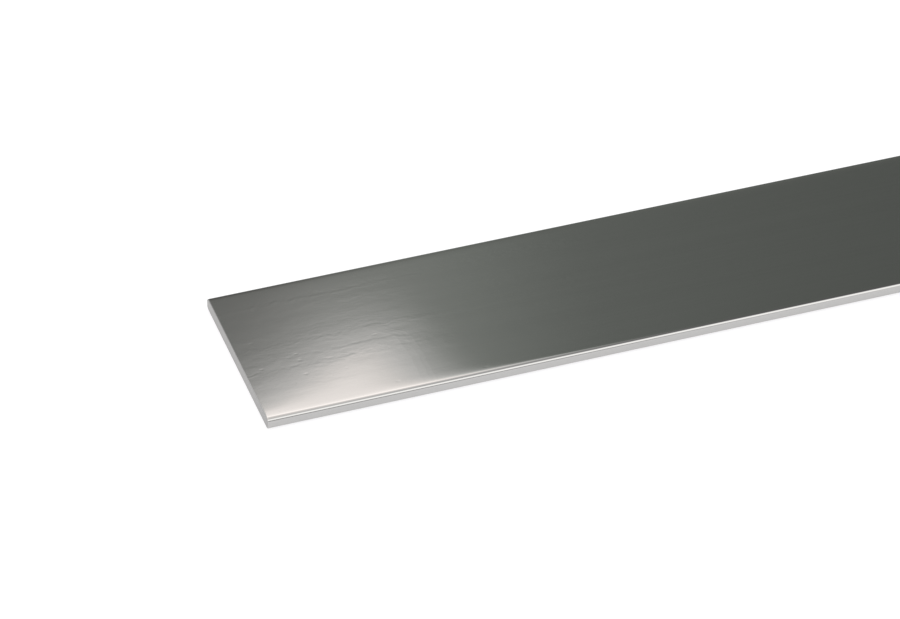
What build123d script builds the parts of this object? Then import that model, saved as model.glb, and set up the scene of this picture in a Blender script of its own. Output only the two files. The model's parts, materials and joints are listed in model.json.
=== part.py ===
from build123d import *
import os

# Polished steel flat bar: one piece of cold-drawn stock, sawn square at both ends.
# Frame: X along the bar, Y across its width, Z up through its thickness, with the
# origin at the middle of the underside. All sizes are in millimetres.

# Driving dimensions
LENGTH = 1000.0     # from one sawn end face to the other
WIDTH = 30.0        # across the two long edges
THICKNESS = 2.0     # between the two broad faces
EDGE_RADIUS = 0.5   # drawn on the four long corners, so each long edge keeps a flat band
END_BREAK = 0.1     # 45-degree break that deburring leaves all round each sawn end

NODE = "flat_bar"


def drawn_section():
    """Cross-section standing on Z = 0: a rectangle with one radius on its four corners."""
    with BuildSketch(Plane.YZ) as section:
        with Locations((0, THICKNESS / 2)):
            RectangleRounded(WIDTH, THICKNESS, EDGE_RADIUS)
    return section.sketch


def sawn_length(section):
    """The section run along X for the full length, half of it each side of the origin."""
    return extrude(section, amount=LENGTH / 2, both=True)


def deburred(bar):
    """The bar with the rim of each sawn end broken all the way round the section."""
    end_faces = bar.faces().group_by(Axis.X)
    rims = end_faces[0].edges() + end_faces[-1].edges()
    return chamfer(rims, length=END_BREAK)


def flat_bar():
    """The finished bar as one solid."""
    return deburred(sawn_length(drawn_section()))


def main():
    os.makedirs("parts", exist_ok=True)
    bar = flat_bar()
    bar.label = NODE
    export_step(bar, f"parts/{NODE}.step")
    size = bar.bounding_box().size
    print(f"{NODE}: {size.X:.3f} x {size.Y:.3f} x {size.Z:.3f} mm, {bar.volume:.1f} mm3")


main()
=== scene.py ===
"""A length of bright drawn steel flat bar with sawn ends, and a plain studio for it."""
from collections import namedtuple
import json
import math

import bpy
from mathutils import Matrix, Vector

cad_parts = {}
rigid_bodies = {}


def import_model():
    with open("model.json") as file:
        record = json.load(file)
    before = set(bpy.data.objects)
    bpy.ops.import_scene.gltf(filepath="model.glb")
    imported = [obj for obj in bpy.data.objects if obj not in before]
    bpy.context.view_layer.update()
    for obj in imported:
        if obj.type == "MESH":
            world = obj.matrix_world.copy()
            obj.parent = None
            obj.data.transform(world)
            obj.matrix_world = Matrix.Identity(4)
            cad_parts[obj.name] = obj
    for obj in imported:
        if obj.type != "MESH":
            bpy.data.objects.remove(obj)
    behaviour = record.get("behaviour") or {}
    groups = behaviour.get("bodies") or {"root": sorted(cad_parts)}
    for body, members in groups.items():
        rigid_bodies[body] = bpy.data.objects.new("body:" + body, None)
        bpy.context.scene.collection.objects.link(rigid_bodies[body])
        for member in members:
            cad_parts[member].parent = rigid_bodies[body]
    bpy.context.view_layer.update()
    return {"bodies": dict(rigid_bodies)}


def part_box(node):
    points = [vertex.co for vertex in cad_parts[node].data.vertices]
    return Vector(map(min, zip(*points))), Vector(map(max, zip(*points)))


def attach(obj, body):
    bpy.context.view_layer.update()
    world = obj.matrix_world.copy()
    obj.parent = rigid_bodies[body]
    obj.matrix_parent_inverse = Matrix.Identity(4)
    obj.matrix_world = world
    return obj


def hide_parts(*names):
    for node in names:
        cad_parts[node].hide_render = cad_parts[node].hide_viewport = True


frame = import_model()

BAR_NODE = "flat_bar"
BAR_LOW, BAR_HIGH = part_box(BAR_NODE)
BAR_SIZE = BAR_HIGH - BAR_LOW
BODY = next(iter(frame["bodies"]))

MILLIMETRE = 0.001
MICRON = 0.000001

bl_info = {
    "name": "Drawn Flat Bar",
    "version": (1, 0, 0),
    "blender": (4, 5, 0),
    "location": "View3D > Sidebar > Flat Bar",
    "description": "Builds a bright drawn flat bar with sawn ends, and a plain studio for it",
    "category": "Add Mesh",
}


# ---------------------------------------------------------------- settings


class BarSettings(bpy.types.PropertyGroup):
    """Sizes of the bar and of the faint relief that drawing leaves on it."""

    length: bpy.props.FloatProperty(
        name="Length", description="From one sawn end to the other",
        default=BAR_SIZE.x, min=0.01, subtype="DISTANCE", unit="LENGTH")
    width: bpy.props.FloatProperty(
        name="Width", description="Across the two long edges",
        default=BAR_SIZE.y, min=0.001, subtype="DISTANCE", unit="LENGTH")
    thickness: bpy.props.FloatProperty(
        name="Thickness", description="Between the two broad faces",
        default=BAR_SIZE.z, min=0.0005, subtype="DISTANCE", unit="LENGTH")
    edge_radius: bpy.props.FloatProperty(
        name="Edge radius", description="Radius drawn on the four long corners",
        default=0.5 * MILLIMETRE, min=0.00005, subtype="DISTANCE", unit="LENGTH")
    end_break: bpy.props.FloatProperty(
        name="End break", description="Radius that deburring leaves round each sawn end",
        default=0.16 * MILLIMETRE, min=0.00001, subtype="DISTANCE", unit="LENGTH")
    face_step: bpy.props.FloatProperty(
        name="Face step", description="Mean spacing of mesh lines across the section",
        default=0.3 * MILLIMETRE, min=0.00005, subtype="DISTANCE", unit="LENGTH")
    station_step: bpy.props.FloatProperty(
        name="Station step", description="Mean spacing of mesh stations along the bar",
        default=5.0 * MILLIMETRE, min=0.0005, subtype="DISTANCE", unit="LENGTH")
    draw_height: bpy.props.FloatProperty(
        name="Draw line height", description="Depth of the shallow lines that the die leaves",
        default=1.0 * MICRON, min=0.0, subtype="DISTANCE", unit="LENGTH")
    bow_height: bpy.props.FloatProperty(
        name="Bow height", description="Depth of the slow unevenness of the broad faces",
        default=6.0 * MICRON, min=0.0, subtype="DISTANCE", unit="LENGTH")
    roll_depth: bpy.props.FloatProperty(
        name="Roll depth", description="How far polishing rolls the broad faces off at their edges",
        default=34.46 * MICRON, min=0.0, subtype="DISTANCE", unit="LENGTH")
    roll_reach: bpy.props.FloatProperty(
        name="Roll reach", description="Distance from the radius over which that roll dies away",
        default=0.3079 * MILLIMETRE, min=0.00005, subtype="DISTANCE", unit="LENGTH")
    seed: bpy.props.FloatProperty(
        name="Seed", description="Picks one bar's own pattern of draw lines", default=3.0)


class FinishSettings(bpy.types.PropertyGroup):
    """Colour and polish of the steel."""

    steel: bpy.props.FloatVectorProperty(
        name="Drawn steel", description="Colour of the bright drawn faces",
        default=(0.57, 0.567, 0.558), size=3, min=0.0, max=1.0, subtype="COLOR")
    polish: bpy.props.FloatProperty(
        name="Drawn roughness", description="Roughness of the bright drawn faces",
        default=0.05477, min=0.0, max=1.0, subtype="FACTOR")
    sawn_steel: bpy.props.FloatVectorProperty(
        name="Sawn steel", description="Colour of the sawn ends",
        default=(0.43, 0.427, 0.42), size=3, min=0.0, max=1.0, subtype="COLOR")
    sawn_roughness: bpy.props.FloatProperty(
        name="Sawn roughness", description="Roughness of the sawn ends",
        default=0.38, min=0.0, max=1.0, subtype="FACTOR")


class StudioSettings(bpy.types.PropertyGroup):
    """Camera, and the level and colour of the lights."""

    lens: bpy.props.FloatProperty(
        name="Lens", description="Focal length on a sensor 36 mm wide, in millimetres",
        default=191.716, min=10.0)
    azimuth: bpy.props.FloatProperty(
        name="Azimuth", description="Camera's turn from straight in front of the bar to its left",
        default=math.radians(18.983), subtype="ANGLE", unit="ROTATION")
    elevation: bpy.props.FloatProperty(
        name="Elevation", description="Angle at which the camera looks down",
        default=math.radians(37.774), subtype="ANGLE", unit="ROTATION")
    distance: bpy.props.FloatProperty(
        name="Distance", description="From the camera to the spot that it looks at",
        default=0.7001, min=0.01, subtype="DISTANCE", unit="LENGTH")
    aim: bpy.props.FloatVectorProperty(
        name="Aim", description="Spot on the top face that the camera looks at",
        default=(-0.467235, 0.000634, 0.002), size=3, subtype="XYZ", unit="LENGTH")
    softbox: bpy.props.FloatVectorProperty(
        name="Softbox", description="Light of the overhead softbox, where 1 is white",
        default=(1.294, 1.224, 1.189), size=3, min=0.0, subtype="XYZ")
    softbox_edge: bpy.props.FloatVectorProperty(
        name="Softbox edge", description="Light of the softbox's dim borders, where 1 is white",
        default=(1.235, 1.222, 1.209), size=3, min=0.0, subtype="XYZ")
    front_wall: bpy.props.FloatVectorProperty(
        name="Front wall", description="Light of the wall in front of the bar, where 1 is white",
        default=(1.636, 1.616, 1.598), size=3, min=0.0, subtype="XYZ")


# ---------------------------------------------------------------- node trees


MIX_COLOURS = (6, 7)    # places of the two colours among the inputs of a Mix node
MIX_RESULT = 2          # and of the mixed colour among its outputs


class NodeBench:
    """Adds nodes to one node tree and joins them."""

    def __init__(self, tree):
        self.tree = tree

    def put(self, value, socket):
        """Joins a socket to an input, or sets that input to a plain value."""
        if isinstance(value, bpy.types.NodeSocket):
            self.tree.links.new(value, socket)
        else:
            socket.default_value = value

    def add(self, kind, inputs=None, **settings):
        """One node of a kind, with its settings, and its inputs by name or number."""
        node = self.tree.nodes.new(kind)
        for name, value in settings.items():
            setattr(node, name, value)
        for name, value in (inputs or {}).items():
            self.put(value, node.inputs[name])
        return node

    def math(self, operation, *values, clamp=False):
        """The result of one Math node."""
        inputs = dict(enumerate(values))
        return self.add("ShaderNodeMath", inputs, operation=operation, use_clamp=clamp).outputs[0]

    def vector(self, operation, *values):
        """The result of one Vector Math node: a number for LENGTH, and otherwise a vector."""
        inputs = dict(enumerate(values))
        node = self.add("ShaderNodeVectorMath", inputs, operation=operation)
        return node.outputs["Value" if operation == "LENGTH" else "Vector"]

    def join(self, x=0.0, y=0.0, z=0.0):
        """A vector from its three parts."""
        return self.add("ShaderNodeCombineXYZ", {"X": x, "Y": y, "Z": z}).outputs[0]

    def split(self, vector):
        """The parts of a vector, by the names X, Y and Z."""
        return self.add("ShaderNodeSeparateXYZ", {"Vector": vector}).outputs

    def remap(self, value, low, high, to_low=0.0, to_high=1.0, steps="LINEAR"):
        """The value moved from one range to another, and held within the second."""
        inputs = {"Value": value, "From Min": low, "From Max": high,
                  "To Min": to_low, "To Max": to_high}
        return self.add("ShaderNodeMapRange", inputs, interpolation_type=steps).outputs["Result"]

    def fade(self, value, stretch, at_start=0.0, at_end=1.0):
        """A number that goes smoothly from one to another over a stretch of the value."""
        return self.remap(value, *stretch, at_start, at_end, steps="SMOOTHSTEP")

    def bell(self, away):
        """A number that is 1 in the middle and dies away with the square of the distance."""
        square = self.math("MULTIPLY", away, away)
        return self.math("EXPONENT", self.math("MULTIPLY", square, -1.0))

    def blend(self, share, at_zero, at_one):
        """One number or the other, by a share from 0 to 1."""
        step = self.math("SUBTRACT", at_one, at_zero)
        return self.math("MULTIPLY_ADD", step, share, at_zero)

    def blend_colours(self, share, at_zero, at_one):
        """One colour or the other, by a share from 0 to 1."""
        inputs = {"Factor": share, **dict(zip(MIX_COLOURS, (at_zero, at_one)))}
        return self.add("ShaderNodeMix", inputs, data_type="RGBA").outputs[MIX_RESULT]

    def noise(self, where, seed, detail):
        """Noise from 0 to 1, by a seed and a number of finer layers."""
        inputs = {"Vector": where, "W": seed, "Scale": 1.0, "Detail": detail}
        return self.add("ShaderNodeTexNoise", inputs, noise_dimensions="4D").outputs[0]


# ---------------------------------------------------------------- shape of the bar


SECTION_CORNERS = 4
ARC_STEPS = 18          # mesh steps on each drawn radius
BREAK_STEPS = 4         # mesh steps on the break round each end
FLAT_PAIRS = 5.0        # fewest pairs of mesh steps across a flat
SEAM_SLACK = 1.0 * MICRON   # a mesh line this near to the end of a radius lies on it
FLAT_END = 0.995        # a face whose normal points this much along the bar is the flat of an end
SAWN_FACE = math.sin(math.radians(45.0))    # and one whose normal points this much along it is sawn
# Repeats a metre of the relief that the mesh itself has, along, across and up the bar.
RELIEF_LINES = (40.0, 420.0, 420.0)
RELIEF_BOW = (9.0, 40.0, 40.0)
ROLL_TAIL = 1.225       # the smaller, the further in over the flat the roll dies away
UNDERSIDE_ROLL = 0.5    # the underside's roll, as a share of the upper face's
BAKE_MAP = "OFBake"
MAP_MARGIN = 0.006      # bare border of the map, and half the gap between its islands
END_STRIP = 0.04        # share of the map's height that holds the two ends

SHAPE_INPUTS = {
    "Length": "length",
    "Width": "width",
    "Thickness": "thickness",
    "Edge Radius": "edge_radius",
    "End Break": "end_break",
    "Face Step": "face_step",
    "Station Step": "station_step",
    "Draw Height": "draw_height",
    "Bow Height": "bow_height",
    "Roll Depth": "roll_depth",
    "Roll Reach": "roll_reach",
    "Seed": "seed",
}
FINISH_INPUTS = ("Drawn Finish", "Sawn Finish")


def core_half(bench, size, given):
    """Half of a side of the rectangle that the section's radii are struck from."""
    return bench.math("MULTIPLY_ADD", size, 0.5, bench.math("MULTIPLY", given["Edge Radius"], -1.0))


def held_within(bench, value, limit):
    """The value, or the nearer of the two limits either side of zero."""
    low = bench.math("MULTIPLY", limit, -1.0)
    return bench.math("MINIMUM", bench.math("MAXIMUM", value, low), limit)


def crowded(bench, value, limit):
    """Moves even steps between the two limits outwards, so that they crowd up to each limit."""
    held = held_within(bench, value, limit)
    turn = bench.math("MULTIPLY", bench.math("DIVIDE", held, limit), math.pi / 2)
    moved = bench.math("MULTIPLY", bench.math("SINE", turn), limit)
    return bench.math("ADD", moved, bench.math("SUBTRACT", value, held))


def section_curve(bench, given):
    """The drawn section as a closed curve, its flats divided finely where they meet the radii."""
    outline = bench.add("GeometryNodeCurvePrimitiveQuadrilateral",
                        {"Width": given["Width"], "Height": given["Thickness"]})
    rounded = bench.add("GeometryNodeFilletCurve", mode="POLY",
                        inputs={"Curve": outline.outputs[0], "Count": ARC_STEPS,
                                "Radius": given["Edge Radius"]}).outputs[0]
    index = bench.add("GeometryNodeInputIndex").outputs[0]
    around = SECTION_CORNERS * (ARC_STEPS + 1)
    after = bench.math("MODULO", bench.math("ADD", index, 1.0), float(around))
    here = bench.add("GeometryNodeInputPosition").outputs[0]
    there = bench.add("GeometryNodeFieldAtIndex", {"Index": after}, data_type="FLOAT_VECTOR")
    bench.put(here, there.inputs["Value"])
    span = bench.vector("LENGTH", bench.vector("SUBTRACT", there.outputs[0], here))
    step = given["Face Step"]
    pairs = bench.math("CEIL", bench.math("DIVIDE", span, bench.math("MULTIPLY", step, 2.0)))
    pairs = bench.math("MAXIMUM", pairs, FLAT_PAIRS)
    cuts = bench.math("MULTIPLY", bench.math("MULTIPLY_ADD", pairs, 2.0, -1.0),
                      bench.math("GREATER_THAN", span, step))
    divided = bench.add("GeometryNodeSubdivideCurve", {"Curve": rounded, "Cuts": cuts}).outputs[0]
    parts = bench.split(here)
    x = crowded(bench, parts["X"], core_half(bench, given["Width"], given))
    y = crowded(bench, parts["Y"], core_half(bench, given["Thickness"], given))
    return bench.add("GeometryNodeSetPosition",
                     {"Geometry": divided, "Position": bench.join(x, y)}).outputs[0]


def spine_curve(bench, given):
    """The line that the section follows, with close stations where the ends are broken."""
    length, end_break = given["Length"], given["End Break"]
    pairs = bench.math("CEIL", bench.math("DIVIDE", length,
                                          bench.math("MULTIPLY", given["Station Step"], 2.0)))
    half_count = bench.math("ADD", pairs, float(BREAK_STEPS))
    line = bench.add("GeometryNodeCurvePrimitiveLine", {"End": (1.0, 0.0, 0.0)}).outputs[0]
    stations = bench.add("GeometryNodeResampleCurve",
                         {"Curve": line, "Count": bench.math("MULTIPLY_ADD", half_count, 2.0, 1.0)}
                         ).outputs[0]
    index = bench.add("GeometryNodeInputIndex").outputs[0]
    from_middle = bench.math("SUBTRACT", index, half_count)
    steps_out = bench.math("ABSOLUTE", from_middle)
    from_end = bench.math("SUBTRACT", half_count, steps_out)
    turn = bench.math("MULTIPLY", bench.math("DIVIDE", from_end, float(BREAK_STEPS), clamp=True),
                      math.pi / 2)
    straight = bench.math("MULTIPLY_ADD", length, 0.5, bench.math("MULTIPLY", end_break, -1.0))
    on_break = bench.math("MULTIPLY_ADD", bench.math("COSINE", turn), end_break, straight)
    even = bench.math("MULTIPLY", straight, bench.math("DIVIDE", steps_out, pairs))
    on_body = crowded(bench, even, straight)
    is_body = bench.math("GREATER_THAN", from_end, BREAK_STEPS - 0.5)
    reach = bench.blend(is_body, on_break, on_body)
    x = bench.math("MULTIPLY", reach, bench.math("SIGN", from_middle))
    return bench.add("GeometryNodeSetPosition",
                     {"Geometry": stations, "Position": bench.join(x)}).outputs[0]


def outward_of(bench, place, given):
    """Unit vector out of the section, away from the rectangle that its radii are struck from."""
    def beyond(value, size):
        held = held_within(bench, value, core_half(bench, size, given))
        return bench.math("SUBTRACT", value, held)
    parts = bench.split(place)
    across, up = beyond(parts["Y"], given["Width"]), beyond(parts["Z"], given["Thickness"])
    return bench.vector("NORMALIZE", bench.join(0.0, across, up))


def end_inset(bench, place, given):
    """How far the rounded break at each end draws the section in."""
    end_break = given["End Break"]
    straight = bench.math("MULTIPLY_ADD", given["Length"], 0.5,
                          bench.math("MULTIPLY", end_break, -1.0))
    past = bench.math("SUBTRACT", bench.math("ABSOLUTE", bench.split(place)["X"]), straight)
    share = bench.math("DIVIDE", bench.math("MAXIMUM", past, 0.0), end_break, clamp=True)
    rise = bench.math("SQRT", bench.math("MULTIPLY_ADD", share, bench.math("MULTIPLY", share, -1.0),
                                         1.0))
    return bench.math("MULTIPLY", end_break, bench.math("SUBTRACT", 1.0, rise))


def drawn_relief(bench, place, given):
    """Depth of the surface under its true plane: draw lines, slow unevenness and rolled edges."""
    def waves(repeats, detail):
        return bench.noise(bench.vector("MULTIPLY", place, repeats), given["Seed"], detail)
    lines = bench.math("MULTIPLY", waves(RELIEF_LINES, detail=1.0), given["Draw Height"])
    bow = bench.math("MULTIPLY", waves(RELIEF_BOW, detail=0.0), given["Bow Height"])
    from_middle = bench.math("ABSOLUTE", bench.split(place)["Y"])
    to_radius = bench.math("SUBTRACT", core_half(bench, given["Width"], given), from_middle)
    reaches = bench.math("DIVIDE", to_radius, given["Roll Reach"])
    on_flat = bench.math("MULTIPLY_ADD", bench.math("MAXIMUM", reaches, 0.0), 1.0 / ROLL_TAIL, 1.0)
    on_radius = bench.math("MULTIPLY", bench.math("MINIMUM", reaches, 0.0), -1.0)
    share = bench.math("MULTIPLY", bench.math("POWER", on_flat, -ROLL_TAIL),
                       bench.math("EXPONENT", on_radius))
    upward = bench.split(outward_of(bench, place, given))["Z"]
    facing = bench.math("MAXIMUM", upward, bench.math("MULTIPLY", upward, -UNDERSIDE_ROLL))
    roll = bench.math("MULTIPLY", bench.math("MULTIPLY", share, facing), given["Roll Depth"])
    return bench.math("ADD", bench.math("ADD", lines, bow), roll)


def bake_places(bench, given, is_end):
    """Places on the map: the upper and the lower half as two long strips, and the ends below."""
    place = bench.add("GeometryNodeInputPosition").outputs[0]
    parts = bench.split(place)
    x, y, z = parts["X"], parts["Y"], parts["Z"]
    face_height = bench.add("GeometryNodeFieldOnDomain", {"Value": z}, domain="FACE").outputs[0]
    half_length = bench.math("MULTIPLY", given["Length"], 0.5)
    half_width = bench.math("MULTIPLY", given["Width"], 0.5)
    half_thickness = bench.math("MULTIPLY", given["Thickness"], 0.5)
    def spread(value, half, low, high):
        return bench.remap(value, bench.math("MULTIPLY", half, -1.0), half, low, high)
    drop = bench.math("SUBTRACT", half_thickness, bench.math("ABSOLUTE", z))
    girth = bench.math("MULTIPLY_ADD", bench.math("SIGN", y), drop, y)
    half_girth = bench.math("ADD", half_width, half_thickness)
    across = bench.blend(is_end, spread(girth, half_girth, MAP_MARGIN, 0.5 - MAP_MARGIN),
                         spread(y, half_width, MAP_MARGIN, 0.5 - MAP_MARGIN))
    is_second = bench.blend(is_end, bench.math("LESS_THAN", face_height, 0.0),
                            bench.math("GREATER_THAN", x, 0.0))
    along = bench.blend(is_end, spread(x, half_length, END_STRIP, 1.0 - MAP_MARGIN),
                        spread(z, half_thickness, MAP_MARGIN, END_STRIP - MAP_MARGIN))
    return bench.join(bench.math("MULTIPLY_ADD", is_second, 0.5, across), along)


def shaded_shape(bench, given, shape, is_end):
    """The shape shaded smooth, but for its flat ends and the lines where radii meet the sides."""
    is_side = bench.math("SUBTRACT", 1.0, is_end)
    smooth = bench.add("GeometryNodeSetShadeSmooth", {"Geometry": shape, "Shade Smooth": is_side},
                       domain="FACE").outputs[0]
    parts = bench.split(bench.add("GeometryNodeInputPosition").outputs[0])
    past_radius = bench.math("SUBTRACT", bench.math("ABSOLUTE", parts["Y"]),
                             core_half(bench, given["Width"], given))
    off_seam = bench.math("SUBTRACT", bench.math("ABSOLUTE", parts["Z"]),
                          core_half(bench, given["Thickness"], given))
    is_seam = bench.math("MULTIPLY", bench.math("COMPARE", off_seam, 0.0, SEAM_SLACK),
                         bench.math("GREATER_THAN", past_radius, 0.0))
    return bench.add("GeometryNodeSetShadeSmooth",
                     {"Geometry": smooth, "Selection": is_seam, "Shade Smooth": False},
                     domain="EDGE").outputs[0]


def bar_tree():
    """Geometry Nodes that run the drawn section along the bar and break its sawn ends."""
    tree = bpy.data.node_groups.new("drawn_bar", "GeometryNodeTree")
    tree.interface.new_socket("Geometry", in_out="OUTPUT", socket_type="NodeSocketGeometry")
    for label in SHAPE_INPUTS:
        tree.interface.new_socket(label, in_out="INPUT", socket_type="NodeSocketFloat")
    for label in FINISH_INPUTS:
        tree.interface.new_socket(label, in_out="INPUT", socket_type="NodeSocketMaterial")
    bench = NodeBench(tree)
    given = bench.add("NodeGroupInput").outputs

    swept = bench.add("GeometryNodeCurveToMesh",
                      {"Curve": spine_curve(bench, given), "Profile Curve": section_curve(bench, given),
                       "Fill Caps": True}).outputs[0]
    place = bench.add("GeometryNodeInputPosition").outputs[0]
    depth = bench.math("ADD", end_inset(bench, place, given), drawn_relief(bench, place, given))
    inward = bench.add("ShaderNodeVectorMath", {"Vector": outward_of(bench, place, given),
                                                "Scale": bench.math("MULTIPLY", depth, -1.0)},
                       operation="SCALE").outputs["Vector"]
    shaped = bench.add("GeometryNodeSetPosition", {"Geometry": swept, "Offset": inward}).outputs[0]

    normal = bench.add("GeometryNodeInputNormal").outputs["Normal"]
    facing = bench.math("ABSOLUTE", bench.split(normal)["X"])
    on_face = bench.add("GeometryNodeFieldOnDomain", {"Value": facing}, domain="FACE").outputs[0]
    is_end = bench.math("GREATER_THAN", on_face, FLAT_END)
    is_sawn = bench.math("GREATER_THAN", on_face, SAWN_FACE)
    mapped = bench.add("GeometryNodeStoreNamedAttribute", {"Geometry": shaped, "Name": BAKE_MAP},
                       data_type="FLOAT2", domain="CORNER")
    bench.put(bake_places(bench, given, is_end), mapped.inputs["Value"])
    shaded = shaded_shape(bench, given, mapped.outputs[0], is_end)
    lift = bench.join(z=bench.math("MULTIPLY", given["Thickness"], 0.5))
    standing = bench.add("GeometryNodeSetPosition",
                         {"Geometry": shaded, "Offset": lift}).outputs[0]
    whole = bench.add("GeometryNodeRealizeInstances", {"Geometry": standing}).outputs[0]
    drawn = bench.add("GeometryNodeSetMaterial",
                      {"Geometry": whole, "Material": given["Drawn Finish"]}).outputs[0]
    sawn = bench.add("GeometryNodeSetMaterial",
                     {"Geometry": drawn, "Selection": is_sawn, "Material": given["Sawn Finish"]}
                     ).outputs[0]
    bench.add("NodeGroupOutput", {"Geometry": sawn})
    return tree


def grown_mesh(name, tree, inputs):
    """The mesh that a Geometry Nodes tree makes from these inputs, as a plain mesh."""
    seedling = bpy.data.objects.new("seedling", bpy.data.meshes.new("seedling"))
    bpy.context.scene.collection.objects.link(seedling)
    modifier = seedling.modifiers.new("shape", "NODES")
    modifier.node_group = tree
    for item in tree.interface.items_tree:
        if item.in_out == "INPUT":
            modifier[item.identifier] = inputs[item.name]
    graph = bpy.context.evaluated_depsgraph_get()
    mesh = bpy.data.meshes.new_from_object(seedling.evaluated_get(graph), depsgraph=graph)
    bpy.data.objects.remove(seedling)
    mesh.name = name
    return mesh


# ---------------------------------------------------------------- finishes


# Noise for a finish: its repeats a metre along, across and up the bar, the seed of its pattern,
# and how many finer layers lie over it.
Grain = namedtuple("Grain", "repeats seed detail")

DRAW_LINES = Grain((14.0, 2600.0, 2600.0), 1.0, 3.0)    # the fine draw lines
DRAW_BANDS = Grain((9.0, 330.0, 330.0), 2.0, 1.0)       # the broad bands that they fall into
SAW_LINES = Grain((0.0, 300.0, 6500.0), 3.0, 3.0)       # the saw's lines, which run across the end
WISPS = Grain((620.0, 1500.0, 1500.0), 4.0, 2.0)        # short shallow wisps left by polishing
DRIFT = Grain((45.0, 160.0, 160.0), 5.0, 1.0)           # their slow wander from side to side
DIE_BREAKS = Grain((850.0, 900.0, 900.0), 6.0, 1.0)     # where the die's marks show and where they fade
WISP_PATCHES = Grain((60.0, 260.0, 260.0), 7.0, 1.0)    # where the wisps are high and where low
TREMOR = Grain((450.0, 450.0, 450.0), 8.0, 1.0)         # the wisps' quick wander from side to side
PEEL = Grain((220.0, 420.0, 420.0), 9.0, 1.0)           # slight waviness of the skin
CREASE_WANDER = Grain((0.0, 300.0, 0.0), 11.0, 1.0)     # wander of the creases as they cross the bar
FLECK_CELLS = (330.0, 560.0, 560.0)     # cells a metre, some of which hold one small fleck

NOISE_MEAN = 0.5
NOISE_SPAN = (0.25, 0.75)               # nearly all of a noise lies in this range
NOISE_CORE = (0.35, 0.65)               # and most of it in this one

LINE_HEIGHT = 0.12 * MICRON
WISP_HEIGHT = 1.7 * MICRON
LOW_WISPS = 0.25                        # share of that height that the lowest wisps keep
PEEL_HEIGHT = 2.2 * MICRON
FLECK_DEPTH = 1.0 * MICRON
FLECK_RADIUS = 0.2                      # in cells
PLAIN_CELLS = 0.66                      # share of the cells that hold no fleck
DRIFT_REACH = 1.6 * MILLIMETRE          # how far apart the drift and the tremor move the wisps
TREMOR_REACH = 1.2 * MILLIMETRE
SKIN_SHARES = (0.45, 1.05)              # share of their height in front of the next stretch and behind
SKIN_Y = (-8.5 * MILLIMETRE, -5.5 * MILLIMETRE)
BAND_SHARE = 0.45                       # share of the bands in the steel's tone, beside its lines
DRAWN_TINT = (0.95, 1.05)               # darkest and lightest tone, as shares of the colour
DRAWN_POLISH = (0.97, 1.03)             # least and greatest roughness, as shares of the mean

# Long shallow marks that the die leaves: place across the bar and breadth in mm, depth in microns.
DIE_MARKS = ((10.8, 0.4, 1.3), (0.7, 0.45, 0.55), (-5.0, 0.35, 0.5), (-3.0, 0.45, 0.45))
DIE_MARK_SHARES = (0.0, 2.0)            # shares of its depth where a mark fades and where it shows

# Faint creases across the bar: place along it from its middle and reach in mm, height in microns.
CREASES = ((-493.6, 1.5, 0.7), (-476.3, 1.0, 0.50), (-475.15, 0.8, 0.35), (-474.3, 1.0, 0.55))
CREASE_SWAY = 2.5 * MILLIMETRE          # how far apart their wander moves them
CREASE_BEND_Y = -5.0 * MILLIMETRE       # behind this line they bend to the left, at this rate:
CREASE_BEND = 0.13 / MILLIMETRE         # metres along for each square metre across
CREASE_END_Y = (-1.0 * MILLIMETRE, 1.5 * MILLIMETRE)    # over this stretch they die away

SAW_HEIGHT = 12 * MICRON
SAWN_TINT = (0.9, 1.1)
SAWN_POLISH = (0.85, 1.15)


def steel(name, colour, roughness):
    """A metal with nothing patterned yet: its bench, its shader and its Object coordinates."""
    material = bpy.data.materials.new(name)
    material.use_nodes = True
    material.diffuse_color = (*colour, 1.0)
    material.metallic = 1.0
    material.roughness = roughness
    bench = NodeBench(material.node_tree)
    shader = material.node_tree.nodes["Principled BSDF"]
    shader.inputs["Metallic"].default_value = 1.0
    where = bench.add("ShaderNodeTexCoord").outputs["Object"]
    return material, bench, shader, where


def scaled(bench, where, repeats):
    """The place with each of its parts multiplied by that many repeats a metre."""
    return bench.add("ShaderNodeMapping", {"Vector": where, "Scale": repeats}).outputs[0]


def pattern(bench, where, grain):
    """The noise of one grain, from 0 to 1."""
    return bench.noise(scaled(bench, where, grain.repeats), grain.seed, grain.detail)


def toned(bench, shader, colour, tints, roughness, polishes, tone):
    """Varies a metal's colour and roughness between two shares of each, by a tone from 0 to 1."""
    dark, light = ((*(part * tint for part in colour), 1.0) for tint in tints)
    bench.put(bench.blend_colours(tone, dark, light), shader.inputs["Base Color"])
    least, most = (roughness * share for share in polishes)
    bench.put(bench.remap(tone, *NOISE_SPAN, least, most), shader.inputs["Roughness"])


def polished_skin(bench, where, flow):
    """Height of the wisps and the waviness that polishing leaves, which are lower in front."""
    wisps = bench.math("MULTIPLY", pattern(bench, flow, WISPS), WISP_HEIGHT)
    share = bench.remap(pattern(bench, where, WISP_PATCHES), *NOISE_CORE, LOW_WISPS, 1.0)
    height = bench.math("MULTIPLY", wisps, share)
    height = bench.math("MULTIPLY_ADD", pattern(bench, flow, PEEL), PEEL_HEIGHT, height)
    return bench.math("MULTIPLY", height, bench.remap(bench.split(flow)["Y"], *SKIN_Y, *SKIN_SHARES))


def flecks(bench, where):
    """Depth of small dents, as a share: one in about every third cell of a stretched lattice."""
    lattice = scaled(bench, where, FLECK_CELLS)
    cells = bench.add("ShaderNodeTexVoronoi", {"Vector": lattice, "Scale": 1.0}).outputs
    dent = bench.fade(cells["Distance"], (0.0, FLECK_RADIUS), 1.0, 0.0)
    chosen = bench.math("GREATER_THAN", bench.split(cells["Color"])["X"], PLAIN_CELLS)
    return bench.math("MULTIPLY", dent, chosen)


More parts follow.
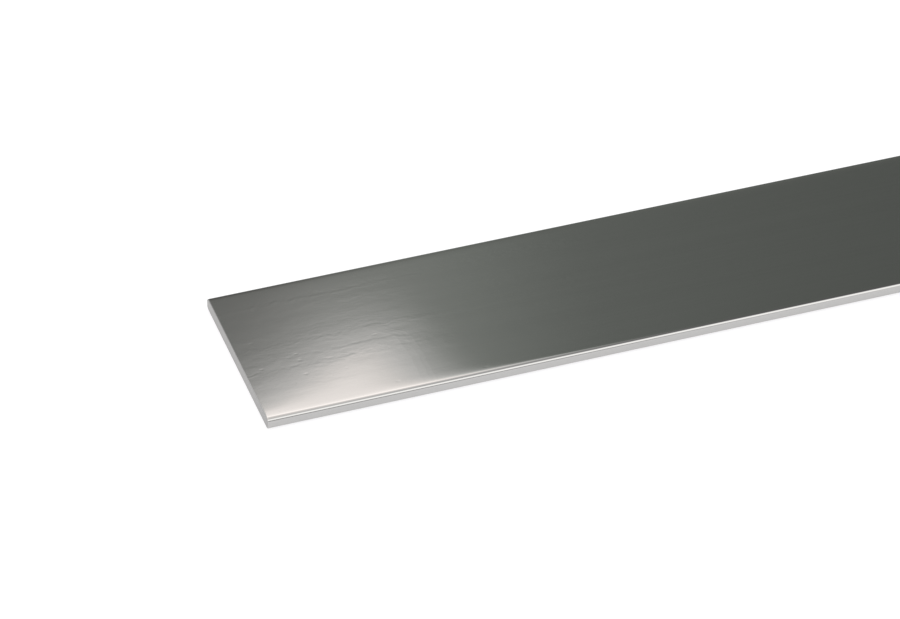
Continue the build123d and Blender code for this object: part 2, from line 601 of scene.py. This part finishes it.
def die_mark(bench, y, centre, breadth, depth):
    """Height of one long shallow mark that the die leaves: a low ridge beside a shallow groove."""
    away = bench.math("DIVIDE", bench.math("SUBTRACT", y, centre), breadth)
    return bench.math("MULTIPLY", bench.math("MULTIPLY", away, bench.bell(away)), -depth)


def with_die_marks(bench, height, where, flow):
    """The height with the die's marks, which fade in places."""
    y = bench.split(flow)["Y"]
    share = bench.remap(pattern(bench, where, DIE_BREAKS), *NOISE_CORE, *DIE_MARK_SHARES)
    for centre, breadth, depth in DIE_MARKS:
        mark = die_mark(bench, y, centre * MILLIMETRE, breadth * MILLIMETRE, depth * MICRON)
        height = bench.math("MULTIPLY_ADD", mark, share, height)
    return height


def crease(bench, x, centre, reach, rise):
    """Height of one faint crease across the bar: a ridge with a sharp top."""
    away = bench.math("ABSOLUTE", bench.math("SUBTRACT", x, centre))
    fall = bench.math("EXPONENT", bench.math("DIVIDE", away, -reach))
    return bench.math("MULTIPLY", fall, rise)


def with_creases(bench, height, where):
    """The height with the faint creases, which wander, bend to the left and die away."""
    parts = bench.split(where)
    y = parts["Y"]
    stray = bench.math("SUBTRACT", pattern(bench, where, CREASE_WANDER), NOISE_MEAN)
    swayed = bench.math("MULTIPLY_ADD", stray, CREASE_SWAY, parts["X"])
    past = bench.math("MAXIMUM", bench.math("SUBTRACT", y, CREASE_BEND_Y), 0.0)
    x = bench.math("MULTIPLY_ADD", bench.math("MULTIPLY", past, past), CREASE_BEND, swayed)
    share = bench.remap(y, *CREASE_END_Y, 1.0, 0.0)
    for centre, reach, rise in CREASES:
        ridge = crease(bench, x, centre * MILLIMETRE, reach * MILLIMETRE, rise * MICRON)
        height = bench.math("MULTIPLY_ADD", ridge, share, height)
    return height


def drawn_steel(finish):
    """Bright drawn steel: near a mirror, with fine lines, wisps and faint bands along its length."""
    material, bench, shader, where = steel("bright_drawn_steel", finish.steel, finish.polish)
    lines = pattern(bench, where, DRAW_LINES)
    tone = bench.blend(BAND_SHARE, lines, pattern(bench, where, DRAW_BANDS))
    toned(bench, shader, finish.steel, DRAWN_TINT, finish.polish, DRAWN_POLISH, tone)

    drift = bench.math("SUBTRACT", pattern(bench, where, DRIFT), NOISE_MEAN)
    tremor = bench.math("SUBTRACT", pattern(bench, where, TREMOR), NOISE_MEAN)
    aside = bench.math("MULTIPLY_ADD", drift, DRIFT_REACH,
                       bench.math("MULTIPLY", tremor, TREMOR_REACH))
    flow = bench.vector("ADD", where, bench.join(y=aside))
    height = polished_skin(bench, where, flow)
    height = bench.math("MULTIPLY_ADD", flecks(bench, flow), -FLECK_DEPTH, height)
    height = bench.math("MULTIPLY_ADD", lines, LINE_HEIGHT, height)
    height = with_die_marks(bench, height, where, flow)
    height = with_creases(bench, height, where)
    bump = bench.add("ShaderNodeBump", {"Strength": 1.0, "Distance": 1.0, "Height": height})
    bench.put(bump.outputs[0], shader.inputs["Normal"])
    return material


def sawn_steel(finish):
    """The saw's cut: duller, with fine lines across the end."""
    material, bench, shader, where = steel("sawn_steel", finish.sawn_steel, finish.sawn_roughness)
    lines = pattern(bench, where, SAW_LINES)
    toned(bench, shader, finish.sawn_steel, SAWN_TINT, finish.sawn_roughness, SAWN_POLISH, lines)
    bump = bench.add("ShaderNodeBump", {"Strength": 1.0, "Distance": SAW_HEIGHT, "Height": lines})
    bench.put(bump.outputs[0], shader.inputs["Normal"])
    return material


# ---------------------------------------------------------------- studio


FLOOR_REACH = 60.0                  # metres from the bar to the floor's edge
FLOOR_SINK = 0.02 * MILLIMETRE      # the floor lies this far under the bar's resting plane
FLOOR_PAINT = (0.42, 0.42, 0.42, 1.0)
FLOOR_GLOW = (1.008, 0.998, 1.012, 1.0)
FLOOR_SEEN = 0.70                   # strength of that glow for the camera
FLOOR_MIRRORED = 0.56               # and in polished metal

# The softbox hangs level over the bar's left end. Its places are in metres from the bar's
# middle, X to the right end and Y to the back, and a pair is a stretch or what holds at its ends.
SOFTBOX_HEIGHT = 0.45
SOFTBOX_X = (-1.30, -0.22)          # its frame, from end to end and from front to back
SOFTBOX_Y = (-0.44, 0.95)
EDGE_LIGHT_COVER = (0.45, 0.80)     # cover over which the borders' light gives way to the middle's

RIGHT_X = -0.2973                   # middle of the soft border down its right side
RIGHT_LEAN = 0.03626                # how much further left that border starts, over the bar
RIGHT_LEAN_Y = (0.0, 0.5)           # stretch over which it leans
RIGHT_TURN = -0.14                  # its slope behind that stretch, metres along for a metre back
RIGHT_HALF = (0.078, 0.03324)       # half of its width, in front of the next stretch and behind it
RIGHT_HALF_Y = (-0.25, 0.10)
RIGHT_TRIM = 0.01173                # what that half loses over a stretch further back
RIGHT_TRIM_Y = (0.30, 0.50)

BACK_Y = 0.6208                     # middle of its back border, where that meets the right one
BACK_SLANT = math.radians(31.7)     # turn of its back border from the bar's line
BACK_FADE = 0.139                   # width of that border
BACK_FALL = 9.912                   # the greater, the sooner the light dies away over it

FRONT_SHARE = 0.7057                # light that is left in front
FRONT_Y = (-0.06038, 0.1473)        # stretch over which it rises to the full light

# A dimmer wing on the left, behind the main part.
WING_X = (-1.0, -0.48)              # its light rises over this stretch
WING_SHARE = 0.4                    # from this share
WING_NEAR_SHARES = (1.0, 0.5)       # to these, in front of the next stretch and behind it
WING_NEAR_Y = (0.43, 0.515)
WING_END_X = (-0.42, -0.38)         # over this stretch it gives way to the main part
WING_BACK_Y = 0.504                 # its back border at the right end of WING_X
WING_BOW = 0.93                     # how fast that border bows back: metres for each square metre
WING_BACK_FADE = 0.014              # half of that border's width

HUMP_GAIN = 0.4091                  # light that is added along the line where it is brightest
HUMP_Y = 0.3376                     # place of that line
HUMP_BREADTH = 0.1224               # distance from it at which a third of that gain is left
CORNER_GAIN = 0.09                  # light that is added beside its back right corner
CORNER_X = (-0.345, -0.325)         # stretch where that ends on the right
CORNER_FRONT_Y = (0.514, 0.524)     # stretch where it starts, in front
CORNER_BACK_Y = (0.528, 0.5365)     # stretch where it ends, at the back

# The front wall stands in front of the bar. It is dark low down on its left.
WALL_X = (-4.0, 0.95)               # from its left side to its right side
WALL_Y = -1.6
WALL_TOP = 1.97
WALL_TOP_FADE = 0.897               # height of the soft border along its top
WALL_SIDE_FADE = 0.2                # width of the soft border down its right side
WALL_LIT_X = (-0.1494, 0.6004)      # low down, stretch over which it grows light to the right
WALL_LIT_Z = (0.1181, 1.033)        # further left, heights over which it grows light upwards

# The rest of what the metal mirrors, by the parts of a unit vector: X to the bar's right end,
# Y to the back and Z up.
REAR_X = 0.1                        # the rear is behind the bar, and right of this
SKYLINE_LIGHT = 0.1714              # at the horizon, but for the rear
SKYLINE_TOP = 0.4765                # the skyline's light dies away up to this height
REAR_SKYLINE_LIGHT = 0.8            # at the horizon at the rear, left of the next stretch
REAR_SKYLINE_X = (0.24, 0.33)       # over which it dies away to the right
CEILING_LIGHT = (0.2137, 0.1370)    # left of the next stretch, and right of it
CEILING_X = (0.2261, 0.3664)
FOOT_SHARES = (0.5443, 1.158)       # share of that light at the ceiling's foot, by the same rule
FOOT_X = (0.24, 0.31)
FOOT_Z = (0.54, 0.5932)             # heights over which the foot gives way to the full light
LEFT_LIGHT = 0.50                   # light that is added on the left
LEFT_X = (-0.5, 0.2)                # stretch over which it dies away to the right
GLOW_LIGHT = 0.09541                # light of a faint upright glow in the ceiling
GLOW_RISE_X = (0.209, 0.239)        # stretch where that starts, on its left
GLOW_FALL_X = (0.245, 0.290)        # stretch where it ends, on its right
GLOW_DIP = 0.35                     # share of it that is missing at one height
GLOW_DIP_Z = 0.575                  # that height
GLOW_DIP_BREADTH = 0.02             # distance from it at which a third of that dip is left
PLAIN_HUE = (1.0, 1.0, 1.0, 1.0)
REAR_HUES = ((0.985, 1.003, 0.958, 1.0), (0.953, 1.02, 0.948, 1.0))
REAR_HUES_X = (0.225, 0.262)        # stretch over which the first gives way to the second
HUE_START_X = (-0.1, 0.15)          # stretches over which the plain hue gives way to them, to
HUE_START_Y = (-0.3, 0.0)           # the right and to the back

SENSOR_WIDTH = 36.0                 # in millimetres
NEAREST_SEEN = 0.01                 # metres from the camera


def new_object(name, vertices, faces, material):
    """A part of the stage."""
    mesh = bpy.data.meshes.new(name)
    mesh.from_pydata(vertices, [], faces)
    mesh.materials.append(material)
    thing = bpy.data.objects.new(name, mesh)
    bpy.context.scene.collection.objects.link(thing)
    return thing


def blank_material(name):
    """A material with only its output, its bench and that output's surface."""
    material = bpy.data.materials.new(name)
    material.use_nodes = True
    material.node_tree.nodes.clear()
    bench = NodeBench(material.node_tree)
    surface = bench.add("ShaderNodeOutputMaterial").inputs["Surface"]
    return material, bench, surface


def floor_material():
    """Pale floor that shows white to the camera and to reflections, and keeps a soft shadow."""
    material, bench, surface = blank_material("pale_floor")
    path = bench.add("ShaderNodeLightPath").outputs
    paint = bench.add("ShaderNodeBsdfDiffuse", {"Color": FLOOR_PAINT}).outputs[0]
    level = bench.math("ADD", bench.math("MULTIPLY", path["Is Camera Ray"], FLOOR_SEEN),
                       bench.math("MULTIPLY", path["Is Glossy Ray"], FLOOR_MIRRORED))
    glow = bench.add("ShaderNodeEmission", {"Color": FLOOR_GLOW, "Strength": level}).outputs[0]
    bench.put(bench.add("ShaderNodeAddShader", {0: paint, 1: glow}).outputs[0], surface)
    return material


def card_material(name, light, cover, brightness=None, edge_light=None):
    """A lit card. Functions of place give its cover, where 0 is clear, and its brightness.

    Where an edge light is given, the card has that light on its thinly covered borders.
    """
    material, bench, surface = blank_material(name)
    place = bench.split(bench.add("ShaderNodeTexCoord").outputs["Object"])
    share = cover(bench, place)
    level = brightness(bench, place) if brightness else 1.0
    colour = (*light, 1.0)
    if edge_light:
        inward = bench.fade(share, EDGE_LIGHT_COVER)
        colour = bench.blend_colours(inward, (*edge_light, 1.0), colour)
    clear = bench.add("ShaderNodeBsdfTransparent").outputs[0]
    lit = bench.add("ShaderNodeEmission", {"Color": colour, "Strength": level}).outputs[0]
    bench.put(bench.add("ShaderNodeMixShader", {0: share, 1: clear, 2: lit}).outputs[0], surface)
    return material


def reflected_only(card):
    """The card shows in polished metal, and neither to the camera nor as a shadow."""
    card.visible_camera = False
    card.visible_diffuse = False
    card.visible_shadow = False


def build_floor():
    """The floor that the bar lies on."""
    r, z = FLOOR_REACH, BAR_LOW.z - FLOOR_SINK
    corners = [(-r, -r, z), (r, -r, z), (r, r, z), (-r, r, z)]
    return new_object("floor", corners, [(0, 1, 2, 3)], floor_material())


def right_border(bench, x, y):
    """Cover that the softbox's soft right border leaves."""
    leaning = bench.remap(y, *RIGHT_LEAN_Y, RIGHT_X - RIGHT_LEAN, RIGHT_X)
    past = bench.math("MAXIMUM", bench.math("SUBTRACT", y, RIGHT_LEAN_Y[1]), 0.0)
    middle = bench.math("MULTIPLY_ADD", past, RIGHT_TURN, leaning)
    half = bench.math("SUBTRACT", bench.remap(y, *RIGHT_HALF_Y, *RIGHT_HALF),
                      bench.remap(y, *RIGHT_TRIM_Y, 0.0, RIGHT_TRIM))
    width = (bench.math("SUBTRACT", middle, half), bench.math("ADD", middle, half))
    return bench.fade(x, width, 1.0, 0.0)


def back_border(bench, x, y):
    """Cover that the softbox's slanted back border leaves."""
    along = bench.math("MULTIPLY", bench.math("SUBTRACT", x, RIGHT_X), math.sin(BACK_SLANT))
    across = bench.math("MULTIPLY", bench.math("SUBTRACT", y, BACK_Y), math.cos(BACK_SLANT))
    ramp = bench.remap(bench.math("SUBTRACT", along, across), -BACK_FADE / 2, BACK_FADE / 2)
    return bench.math("POWER", ramp, BACK_FALL)


def wing(bench, x, y):
    """Cover of the softbox's dimmer wing on the left."""
    further = bench.math("SUBTRACT", x, WING_X[1])
    back = bench.math("MULTIPLY_ADD", bench.math("MULTIPLY", further, further), WING_BOW, WING_BACK_Y)
    nearest = bench.remap(y, *WING_NEAR_Y, *WING_NEAR_SHARES)
    within = bench.remap(bench.math("SUBTRACT", y, back), -WING_BACK_FADE, WING_BACK_FADE, 1.0, 0.0)
    lit = bench.math("MULTIPLY", bench.remap(x, *WING_X, WING_SHARE, nearest), within)
    return bench.math("MULTIPLY", lit, bench.remap(x, *WING_END_X, 1.0, 0.0))


def softbox_cover(bench, place):
    """Cover of the softbox: its main part, dimmer in front, and its wing."""
    x, y = place["X"], place["Y"]
    sides = bench.math("MULTIPLY", right_border(bench, x, y), back_border(bench, x, y))
    main_part = bench.math("MULTIPLY", sides, bench.fade(y, FRONT_Y, FRONT_SHARE, 1.0))
    return bench.math("MAXIMUM", main_part, wing(bench, x, y))


def softbox_brightness(bench, place):
    """Brightness of the softbox, which is greatest along one line and beside one corner."""
    x, y = place["X"], place["Y"]
    hump = bench.bell(bench.math("DIVIDE", bench.math("SUBTRACT", y, HUMP_Y), HUMP_BREADTH))
    level = bench.math("MULTIPLY_ADD", hump, HUMP_GAIN, 1.0)
    corner = bench.math("MULTIPLY", bench.fade(x, CORNER_X, 1.0, 0.0),
                        bench.fade(y, CORNER_BACK_Y, 1.0, 0.0))
    corner = bench.math("MULTIPLY", corner, bench.fade(y, CORNER_FRONT_Y))
    return bench.math("MULTIPLY_ADD", corner, CORNER_GAIN, level)


def build_softbox(studio):
    """Softbox over the bar's left end, with soft borders, dim in front and on the left."""
    (left, right), (front, back) = SOFTBOX_X, SOFTBOX_Y
    outline = ((left, front), (right, front), (right, back), (left, back))
    corners = [(x, y, SOFTBOX_HEIGHT) for x, y in outline]
    finish = card_material("softbox_light", studio.softbox, softbox_cover, softbox_brightness,
                           studio.softbox_edge)
    card = new_object("softbox", corners, [(0, 1, 2, 3)], finish)
    reflected_only(card)
    return card


def wall_cover(bench, place):
    """Cover of the front wall."""
    x, z = place["X"], place["Z"]
    right = WALL_X[1]
    lit = bench.blend(bench.fade(z, WALL_LIT_Z), bench.fade(x, WALL_LIT_X), 1.0)
    top = bench.fade(z, (WALL_TOP - WALL_TOP_FADE, WALL_TOP), 1.0, 0.0)
    side = bench.fade(x, (right - WALL_SIDE_FADE, right), 1.0, 0.0)
    return bench.math("MULTIPLY", bench.math("MULTIPLY", lit, top), side)


def build_front_wall(studio):
    """Lit wall in front of the bar, which draws the bright line along its near edge."""
    left, right = WALL_X
    outline = ((left, 0.0), (right, 0.0), (right, WALL_TOP), (left, WALL_TOP))
    corners = [(x, WALL_Y, z) for x, z in outline]
    finish = card_material("front_wall_light", studio.front_wall, wall_cover)
    card = new_object("front_wall", corners, [(0, 1, 2, 3)], finish)
    reflected_only(card)
    return card


def skyline_light(bench, way):
    """Light of the pale skyline, which is brighter at the rear and dies away there to the right."""
    at_rear = bench.math("MULTIPLY", bench.math("GREATER_THAN", way["Y"], 0.0),
                         bench.math("GREATER_THAN", way["X"], REAR_X))
    rear = bench.remap(way["X"], *REAR_SKYLINE_X, REAR_SKYLINE_LIGHT, 0.0)
    foot = bench.blend(at_rear, SKYLINE_LIGHT, rear)
    return bench.fade(way["Z"], (0.0, SKYLINE_TOP), foot, 0.0)


def glow_light(bench, way):
    """Light of the faint upright glow in the ceiling."""
    glow = bench.math("MULTIPLY", bench.fade(way["X"], GLOW_RISE_X, 0.0, GLOW_LIGHT),
                      bench.fade(way["X"], GLOW_FALL_X, 1.0, 0.0))
    away = bench.math("DIVIDE", bench.math("SUBTRACT", way["Z"], GLOW_DIP_Z), GLOW_DIP_BREADTH)
    return bench.math("MULTIPLY", glow, bench.math("MULTIPLY_ADD", bench.bell(away), -GLOW_DIP, 1.0))


def mirrored_light(bench, way):
    """Light that the metal mirrors: ceiling, skyline, the left and the glow."""
    ceiling = bench.fade(way["X"], CEILING_X, *CEILING_LIGHT)
    foot = bench.remap(way["X"], *FOOT_X, *FOOT_SHARES)
    share = bench.remap(way["Z"], *FOOT_Z, foot, 1.0)
    left = bench.remap(way["X"], *LEFT_X, LEFT_LIGHT, 0.0)
    low = bench.math("ADD", skyline_light(bench, way), left)
    light = bench.math("MULTIPLY_ADD", ceiling, share, low)
    return bench.math("ADD", light, glow_light(bench, way))


def mirrored_hue(bench, way, mirrored):
    """Hue of that light: plain, but for the greener rear."""
    rearward = bench.math("MULTIPLY", bench.remap(way["X"], *HUE_START_X),
                          bench.remap(way["Y"], *HUE_START_Y))
    rear = bench.blend_colours(bench.remap(way["X"], *REAR_HUES_X), *REAR_HUES)
    return bench.blend_colours(bench.math("MULTIPLY", mirrored, rearward), PLAIN_HUE, rear)


def build_world():
    """Plain white light, with a studio's dark ceiling and pale skyline in polished metal."""
    world = bpy.data.worlds.new("studio")
    world.use_nodes = True
    world.node_tree.nodes.clear()
    bench = NodeBench(world.node_tree)
    mirrored = bench.add("ShaderNodeLightPath").outputs["Is Glossy Ray"]
    place = bench.add("ShaderNodeNewGeometry").outputs["Position"]
    way = bench.split(bench.vector("NORMALIZE", place))
    level = bench.blend(mirrored, 1.0, mirrored_light(bench, way))
    hue = mirrored_hue(bench, way, mirrored)
    glow = bench.add("ShaderNodeBackground", {"Color": hue, "Strength": level})
    bench.put(glow.outputs[0], bench.add("ShaderNodeOutputWorld").inputs["Surface"])
    bpy.context.scene.world = world


def build_camera(studio):
    """Camera that looks at its spot from the studio's azimuth, elevation and distance."""
    turn, rise = studio.azimuth, studio.elevation
    back = Vector((-math.sin(turn) * math.cos(rise), -math.cos(turn) * math.cos(rise),
                   math.sin(rise)))
    data = bpy.data.cameras.new("camera")
    data.sensor_width = SENSOR_WIDTH
    data.lens = studio.lens
    data.clip_start = NEAREST_SEEN
    camera = bpy.data.objects.new("camera", data)
    camera.location = Vector(studio.aim) + back * studio.distance
    camera.rotation_euler = (-back).to_track_quat("-Z", "Y").to_euler()
    bpy.context.scene.collection.objects.link(camera)
    bpy.context.scene.camera = camera


# ---------------------------------------------------------------- operators


class FLATBAR_OT_bar(bpy.types.Operator):
    """Builds the drawn bar with its sawn ends in the place of the CAD solid"""

    bl_idname = "flatbar.build_bar"
    bl_label = "Build Bar"

    def execute(self, context):
        settings, finish = context.scene.flat_bar, context.scene.flat_bar_finish
        inputs = {label: getattr(settings, name) for label, name in SHAPE_INPUTS.items()}
        finishes = (drawn_steel(finish), sawn_steel(finish))
        inputs.update(zip(FINISH_INPUTS, finishes))
        mesh = grown_mesh("polished_flat_bar", bar_tree(), inputs)
        if not mesh.polygons:
            raise RuntimeError("the bar came out with no faces")
        bar = bpy.data.objects.new(mesh.name, mesh)
        context.scene.collection.objects.link(bar)
        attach(bar, BODY)
        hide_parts(BAR_NODE)
        return {"FINISHED"}


class FLATBAR_OT_studio(bpy.types.Operator):
    """Sets up the pale floor, the soft lights and the camera"""

    bl_idname = "flatbar.build_studio"
    bl_label = "Build Studio"

    def execute(self, context):
        studio = context.scene.flat_bar_studio
        build_floor()
        build_softbox(studio)
        build_front_wall(studio)
        build_world()
        build_camera(studio)
        context.scene.view_settings.view_transform = "Standard"
        return {"FINISHED"}


class FLATBAR_PT_sidebar(bpy.types.Panel):
    """Lists the bar's settings and its builders"""

    bl_idname = "FLATBAR_PT_sidebar"
    bl_label = "Flat Bar"
    bl_space_type = "VIEW_3D"
    bl_region_type = "UI"
    bl_category = "Flat Bar"

    def draw(self, context):
        groups = (
            (context.scene.flat_bar, FLATBAR_OT_bar),
            (context.scene.flat_bar_finish, None),
            (context.scene.flat_bar_studio, FLATBAR_OT_studio),
        )
        for settings, operator in groups:
            box = self.layout.box()
            for name in settings.__annotations__:
                box.prop(settings, name)
            if operator:
                box.operator(operator.bl_idname)


# ---------------------------------------------------------------- add-on


CLASSES = (
    BarSettings,
    FinishSettings,
    StudioSettings,
    FLATBAR_OT_bar,
    FLATBAR_OT_studio,
    FLATBAR_PT_sidebar,
)
SCENE_SETTINGS = {
    "flat_bar": BarSettings,
    "flat_bar_finish": FinishSettings,
    "flat_bar_studio": StudioSettings,
}


def register():
    for cls in CLASSES:
        bpy.utils.register_class(cls)
    for name, group in SCENE_SETTINGS.items():
        setattr(bpy.types.Scene, name, bpy.props.PointerProperty(type=group))


def unregister():
    for name in SCENE_SETTINGS:
        delattr(bpy.types.Scene, name)
    for cls in reversed(CLASSES):
        bpy.utils.unregister_class(cls)


def main():
    register()
    bpy.ops.flatbar.build_bar()
    bpy.ops.flatbar.build_studio()


if __name__ == "__main__":
    main()
